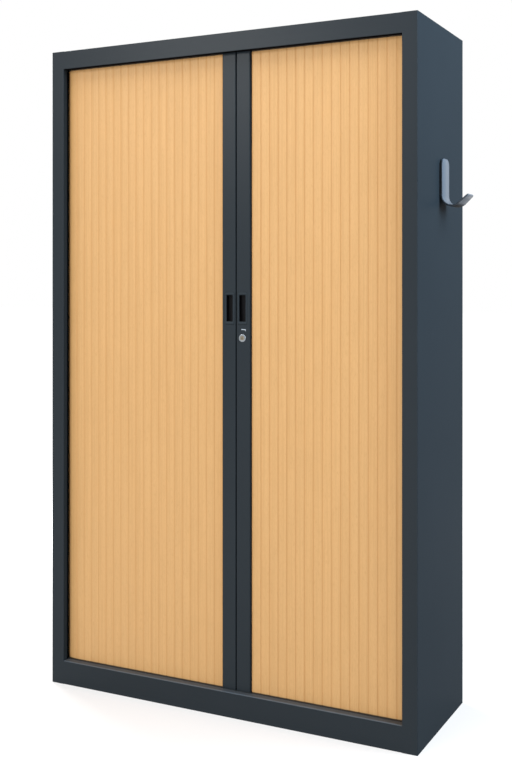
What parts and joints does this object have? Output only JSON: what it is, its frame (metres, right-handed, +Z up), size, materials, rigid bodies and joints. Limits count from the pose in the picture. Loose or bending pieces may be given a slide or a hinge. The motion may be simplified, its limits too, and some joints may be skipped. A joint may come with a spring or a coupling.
{
  "type": "tambour cabinet",
  "caption": "Tall steel tambour cabinet: slatted beech-look curtain doors slide sideways on dark stiles with grips and a lock, folded carcass, shelves, side coat hook.",
  "frame": {"origin": "on the floor, at the middle of the carcass in width and depth", "axes": "+Z up, +Y from the doors towards the back, +X to the right when facing the doors"},
  "size_m": [1.2822, 0.42, 1.98],
  "materials": {
    "anthracite_paint": "satin powder coat",
    "beech_slat": "beech-look film on extruded slats",
    "black_plastic": "fine-grained moulding",
    "zinc_steel": "zinc plated",
    "nickel": "polished nickel",
    "hook_steel": "blue-grey powder coat",
    "magnet_rubber": "matt rubber"
  },
  "bodies": {
    "carcass": {"left_side_panel": "anthracite_paint", "right_side_panel": "anthracite_paint", "top_panel": "anthracite_paint", "ceiling_panel": "anthracite_paint", "plinth": "anthracite_paint", "floor_panel": "anthracite_paint", "left_back_panel": "anthracite_paint", "right_back_panel": "anthracite_paint", "left_liner": "anthracite_paint", "right_liner": "anthracite_paint", "left_shelf_rails": "zinc_steel", "right_shelf_rails": "zinc_steel", "shelf_1": "anthracite_paint", "shelf_2": "anthracite_paint", "shelf_3": "anthracite_paint", "shelf_4": "anthracite_paint", "shelf_clips": "zinc_steel", "upper_left_track": "black_plastic", "upper_right_track": "black_plastic", "lower_left_track": "black_plastic", "lower_right_track": "black_plastic", "coat_hook": "hook_steel", "hook_magnet": "magnet_rubber", "foot_brackets": "zinc_steel", "foot_nuts": "zinc_steel"},
    "left_door": {"left_stile": "anthracite_paint", "left_stile_glides": "black_plastic", "left_grip_cup": "black_plastic", "lock_keeper": "zinc_steel", "left_curtain": "beech_slat"},
    "right_door": {"right_stile": "anthracite_paint", "right_stile_glides": "black_plastic", "right_grip_cup": "black_plastic", "lock_body": "nickel", "lock_nut": "zinc_steel", "right_curtain": "beech_slat"},
    "lock_turn": {"lock_plug": "nickel", "lock_cam": "zinc_steel", "lock_cam_screw": "zinc_steel"},
    "front_left_foot": {"front_left_foot": "black_plastic"},
    "front_right_foot": {"front_right_foot": "black_plastic"},
    "rear_left_foot": {"rear_left_foot": "black_plastic"},
    "rear_right_foot": {"rear_right_foot": "black_plastic"}
  },
  "joints": [
    {"name": "left_door_slide", "type": "slide", "parent": "carcass", "child": "left_door", "axis": [-1, 0, 0], "range_m": [0, 0.5215], "deforming": ["left_curtain"]},
    {"name": "right_door_slide", "type": "slide", "parent": "carcass", "child": "right_door", "axis": [1, 0, 0], "range_m": [0, 0.4392], "deforming": ["right_curtain"]},
    {"name": "lock_turn", "type": "hinge", "parent": "right_door", "child": "lock_turn", "pos_m": [0.064, -0.188, 1.096], "axis": [0, -1, 0], "range_deg": [0, 90]},
    {"name": "front_left_foot_level", "type": "slide", "parent": "carcass", "child": "front_left_foot", "axis": [0, 0, -1], "range_m": [0, 0.015]},
    {"name": "front_right_foot_level", "type": "slide", "parent": "carcass", "child": "front_right_foot", "axis": [0, 0, -1], "range_m": [0, 0.015]},
    {"name": "rear_left_foot_level", "type": "slide", "parent": "carcass", "child": "rear_left_foot", "axis": [0, 0, -1], "range_m": [0, 0.015]},
    {"name": "rear_right_foot_level", "type": "slide", "parent": "carcass", "child": "rear_right_foot", "axis": [0, 0, -1], "range_m": [0, 0.015]}
  ]
}
